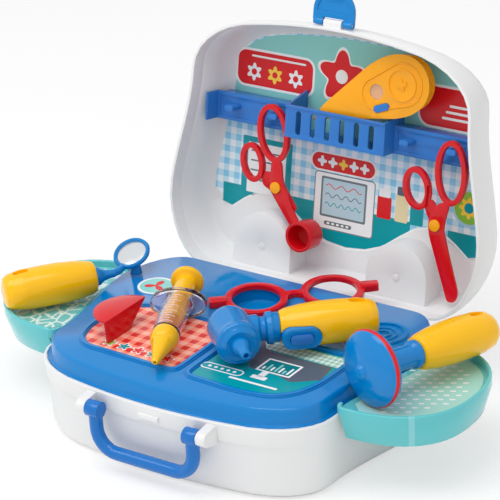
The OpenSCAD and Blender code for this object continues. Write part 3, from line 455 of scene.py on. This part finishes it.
moved = add(water, "VectorMath", [(spot.outputs["Object"], 0), (pull.outputs[0], 1)], operation="ADD")
cells = add(water, "TexVoronoi", [(moved.outputs[0], "Vector")], feature="DISTANCE_TO_EDGE", Scale=95.0)
glint = add(water, "ValToRGB", [(cells.outputs["Distance"], "Fac")])
glint.color_ramp.elements[0].color = linear(glint_tint)
glint.color_ramp.elements[1].position = glint_share
glint.color_ramp.elements[1].color = linear(water_tint)
water.node_tree.links.new(glint.outputs["Color"], surface_of(water).inputs["Base Color"])
dress(water, "tray_left_sticker", bevel=0)
dress(ink("pale_mint", "#A9DED6"), "tray_right_sticker", bevel=0)
tray_art = axes_of((0, 0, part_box("tray_right_sticker")[1].z), (1, 0, 0), (0, 1, 0))
lattice_turn = math.radians(28)
slant = tray_art @ Matrix.Rotation(lattice_turn, 4, "Z")
dash_pitch, row_pitch = 8.8, 6.4
case_side = 143
dish_x, dish_y, dish_long, dish_wide, inside = 133, 10.5, 64, 55, 0.94
for row in range(15):
    for k in range(12):
        u = 118 + dash_pitch * k + dash_pitch / 2 * (row % 2)
        v = -112 + row_pitch * row
        x = u * math.cos(lattice_turn) - v * math.sin(lattice_turn)
        y = u * math.sin(lattice_turn) + v * math.cos(lattice_turn)
        if x > case_side and ((x - dish_x) / dish_long) ** 2 + ((y - dish_y) / dish_wide) ** 2 < inside:
            sheet_of(f"tray_print_dash_{row}_{k}", box_round(u, v, 4.2, 2, 0.7), slant, 0,
                     white_ink, "tray_r")


# Tongs and scissors: two red polystyrene halves each, hooked on the pegs by their finger
# rings and turning on a yellow rivet; the tongs end in a split sleeve.
dress(red_ps, "forceps_front", "forceps_back", "scissors_front", "scissors_back", bevel=0.0004)
dress(amber_abs, "forceps_rivet", "scissors_rivet", bevel=0.0002)

# Thermometer: two amber ABS half-shells lying behind the rail, with a dial disc under a
# clear polycarbonate window, and a soft push button.
dress(amber_abs, "thermometer_front", "thermometer_back", bevel=0.0004)
dress(white_abs, "thermometer_dial", bevel=0.0001)


def let_light_through(mat):
    """Lets lamps shine through a clear moulding, so that what lies inside it isn't black."""
    tree = mat.node_tree
    rays = add(mat, "LightPath")
    open_way = add(mat, "BsdfTransparent", Color=linear("#F4F0F6"))
    both_ways = add(mat, "Math", [(rays.outputs["Is Shadow Ray"], 0), (rays.outputs["Is Diffuse Ray"], 1)],
                    operation="MAXIMUM")
    mixed = add(mat, "MixShader", [(both_ways.outputs[0], 0), (surface_of(mat).outputs[0], 1),
                                   (open_way.outputs[0], 2)])
    tree.links.new(mixed.outputs[0], tree.nodes["Material Output"].inputs["Surface"])


clear_pc = plastic("clear_polycarbonate", "#F4F8FB", roughness=0.05, ior=1.585, wear=0.01)
surface_of(clear_pc).inputs["Transmission Weight"].default_value = 0.9
let_light_through(clear_pc)
dress(clear_pc, "thermometer_window", bevel=0)
dress(rail_abs, "thermometer_button", bevel=0.0002)
thermo_turn = math.radians(-21)
lid_down, lid_in = -lid_up, -lid_out
thermo_x = lid_across * math.cos(thermo_turn) + lid_down * math.sin(thermo_turn)
thermo_y = lid_down * math.cos(thermo_turn) - lid_across * math.sin(thermo_turn)
thermo_right, thermo_height, middle_depth, shell_half = 0.053, 0.1734, 0.0255, 0.0066
thermo_face = (rim_line + lid_across * thermo_right + lid_up * thermo_height
               + lid_in * (middle_depth - shell_half))


def ring_faces(rings, sides):
    """The faces of a closed tube whose corners run side by side around each ring."""
    return [(i * sides + k, i * sides + (k + 1) % sides, (i + 1) % rings * sides + (k + 1) % sides,
             (i + 1) % rings * sides + k) for i in range(rings) for k in range(sides)]


panel = oval(4, 0, 17, 17, 24, -90, 180) + oval(-22, 2, 12.5, 12.5, 24, 90, 180)
bead_radius, bead_flat, bead_sides = 0.0007, 0.8, 8
corners = []
for i, (x, y) in enumerate(panel):
    ax, ay = panel[i - 1]
    bx, by = panel[(i + 1) % len(panel)]
    size = math.hypot(bx - ax, by - ay)
    side = (thermo_x * (by - ay) - thermo_y * (bx - ax)) / size
    centre = thermo_face + thermo_x * (x / 1000) + thermo_y * (y / 1000)
    for k in range(bead_sides):
        turn = 2 * math.pi * k / bead_sides
        corners.append(centre + (side * math.cos(turn) - lid_in * math.sin(turn) * bead_flat) * bead_radius)
bead = new_piece("thermometer_panel_bead", corners, ring_faces(len(panel), bead_sides), amber_abs)
bead.data.shade_smooth()
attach(bead, "thermo")

# Syringe: a clear polystyrene barrel with raised graduations, drawn as flat near-white strips of
# painted highlight on their ribs, a yellow ABS nozzle on its end and a yellow ABS plunger that slides
# inside.
clear_ps = plastic("clear_polystyrene", "#FAF6FC", roughness=0.03, ior=1.59, wear=0.01)
surface_of(clear_ps).inputs["Transmission Weight"].default_value = 1.0
let_light_through(clear_ps)
dress(clear_ps, "syringe_barrel", bevel=0.0002)
dress(yellow_abs, "syringe_nose", "syringe_plunger", bevel=0.0003)
bore_line = Vector(joint_of("plunger_slide")["axis"]).normalized()
bore_side = bore_line.cross(Vector((0, 0, 1))).normalized()
bore_top = bore_side.cross(bore_line)
axis_rise = 0.0141
knob_end = Vector((-0.063, 0.0354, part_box("syringe_barrel")[0].z + axis_rise))
# Painted highlight: the graduation marks are flat near-white strips in place of the light on the barrel's
# raised ribs.
rib_highlight_paint = ink("graduation_painted_highlight", "#F7F1FA")
first_mark, mark_pitch, mark_half = 0.0445, 0.004, 0.0003
middle_turn, short_reach, long_reach, steps = 20, 34, 48, 12
barrel_radius, radius_from, taper = 0.01112, 0.04, 0.0055
for i in range(11):
    reach = short_reach if i % 2 else long_reach
    along = first_mark + mark_pitch * i
    radius = barrel_radius - taper * (along - radius_from)
    rim = []
    for edge in (-mark_half, mark_half):
        for k in range(steps + 1):
            turn = math.radians(middle_turn - reach + 2 * reach * k / steps)
            rim.append(knob_end + bore_line * (along + edge)
                       + (bore_top * math.cos(turn) + bore_side * math.sin(turn)) * radius)
    strips = [(k, k + 1, k + steps + 2, k + steps + 1) for k in range(steps)]
    mark = new_piece(f"syringe_graduation_{i}", rim, strips, rib_highlight_paint)
    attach(mark, "syringe")

# Otoscope: blue stepped head with a press-fit ear cone, a yellow grip moulded in ABS, and
# a blue saddle that carries a long button.
dress(blue_abs, "otoscope_head", "otoscope_nozzle", "otoscope_saddle", bevel=0.0004)
dress(rail_abs, "otoscope_button", bevel=0.0004)
dress(yellow_abs, "otoscope_grip", "hammer_grip", "mirror_grip", bevel=0.0003)

# Hammer: a blue ABS head with a domed striking disc and a red polystyrene rim pressed over
# its edge; the rim replaces the plainer solid ring with one of rounder section.
dress(blue_abs, "hammer_head", bevel=0.0004)
hammer_place = Vector((0.1445, -0.034, 0.0924))
swing, dip = math.radians(73), math.radians(4.2)
hammer_line = Vector((math.cos(swing) * math.cos(dip), math.sin(swing) * math.cos(dip), -math.sin(dip)))
hammer_side = hammer_line.cross(Vector((0, 0, 1))).normalized()
hammer_top = hammer_side.cross(hammer_line)
rim_radius, rim_back, rim_thick, rim_long = 27.9, 3.9, 1.45, 2.1
rings, sides = 72, 12
profile = oval(rim_radius, rim_back, rim_thick, rim_long, sides)
corners = []
for i in range(rings):
    turn = 2 * math.pi * i / rings
    out_way = hammer_side * math.cos(turn) + hammer_top * math.sin(turn)
    corners += [hammer_place + (out_way * r + hammer_line * h) / 1000 for r, h in profile]
hammer_rim = new_piece("hammer_rim", corners, ring_faces(rings, sides), red_ps)
hammer_rim.data.shade_smooth()
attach(hammer_rim, "hammer")
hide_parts("hammer_ring")

# Mirror: a blue ABS frame on a bent neck, pressed into a yellow grip. It holds a disc of
# polystyrene with a silvered foil, a toy's safe looking glass.
silver = plastic("silvered_polystyrene_foil", "#D5D9DC", roughness=0.16)
surface_of(silver).inputs["Metallic"].default_value = 0.75
dress(blue_abs, "mirror_frame", bevel=0.0003)
dress(silver, "mirror_glass", bevel=0.0001)

# Glasses and clip: glossy red polystyrene, each one moulding. The glasses have no lenses,
# and the clip is a folded tab.
dress(red_ps, "glasses", "clip", bevel=0.0004)

# Table and backdrop: a white board that keeps the soft shadow, under three large lamps.
paper = plastic("matt_white_paper", "#FFFFFF", roughness=0.9, wear=0.01)
surface_of(paper).inputs["Specular IOR Level"].default_value = 0.0
glow = add(paper, "Emission", Color=(1, 1, 1, 1), Strength=1.0)
seen_by = add(paper, "LightPath")
glow_share = add(paper, "Math", [(seen_by.outputs["Is Camera Ray"], 0)], operation="MULTIPLY")
glow_share.inputs[1].default_value = 0.55
lit = add(paper, "MixShader", [(glow_share.outputs[0], 0), (surface_of(paper).outputs[0], 1),
                               (glow.outputs[0], 2)])
paper.node_tree.links.new(lit.outputs[0], paper.node_tree.nodes["Material Output"].inputs["Surface"])
reach, gap = 8, 0.0002
floor = new_piece("floor", [(-reach, -reach, 0), (reach, -reach, 0), (reach, reach, 0), (-reach, reach, 0)],
                  [(0, 1, 2, 3)], paper)
floor.location.z = low[2] - gap
world = bpy.data.worlds.new("studio")
bpy.context.scene.world = world
world.use_nodes = True
soft = world.node_tree.nodes["Background"]
soft.inputs["Color"].default_value = (1, 1, 1, 1)
soft.inputs["Strength"].default_value = 0.66
pure = add(world, "Background", Color=(1, 1, 1, 1), Strength=1.0)
rays = add(world, "LightPath")
seen = add(world, "Math", [(rays.outputs["Is Camera Ray"], 0), (rays.outputs["Is Glossy Ray"], 1)],
           operation="ADD", use_clamp=True)
shown = add(world, "Math", [(seen.outputs[0], 0), (rays.outputs["Is Transmission Ray"], 1)],
            operation="ADD", use_clamp=True)
choice = add(world, "MixShader", [(shown.outputs[0], 0), (soft.outputs[0], 1), (pure.outputs[0], 2)])
world.node_tree.links.new(choice.outputs[0], world.node_tree.nodes["World Output"].inputs["Surface"])


def lamp(name, place, size, power, aim=(0, 0, 0.08)):
    """A square white area lamp, size metres wide, that faces the middle of the case."""
    light = bpy.data.lights.new(name, "AREA")
    light.size = size
    light.energy = power
    light.color = (1, 1, 1)
    holder = bpy.data.objects.new(name, light)
    bpy.context.scene.collection.objects.link(holder)
    holder.location = place
    holder.rotation_euler = (Vector(aim) - Vector(place)).to_track_quat("-Z", "Y").to_euler()
    return holder


key = lamp("lamp_key", (-0.8, -0.8, 1.5), 0.8, 6.6)
fill = lamp("lamp_fill", (1.0, -1.3, 1.1), 1.0, 1)
top = lamp("lamp_top", (0.0, -0.45, 1.8), 1.1, 11)
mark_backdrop(floor, key, fill, top)

# Camera: the view of the photograph, solved from the marks of the case on the picture. Its
# right and back directions are kept square to each other, and up follows from them.
view = bpy.data.cameras.new("camera")
view.lens = 183.4
view.sensor_width = 36
camera = bpy.data.objects.new("camera", view)
bpy.context.scene.collection.objects.link(camera)
view_back = Vector((0.529, -0.739, 0.416)).normalized()
near_right = Vector((0.825, 0.5615, -0.0523))
view_right = (near_right - view_back * near_right.dot(view_back)).normalized()
view_up = view_back.cross(view_right)
facing = Matrix((view_right, view_up, view_back)).transposed().to_4x4()
camera.matrix_world = Matrix.Translation((1.0190, -1.3912, 0.9297)) @ facing
bpy.context.scene.camera = camera
bpy.context.scene.view_settings.view_transform = "Standard"

low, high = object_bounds()
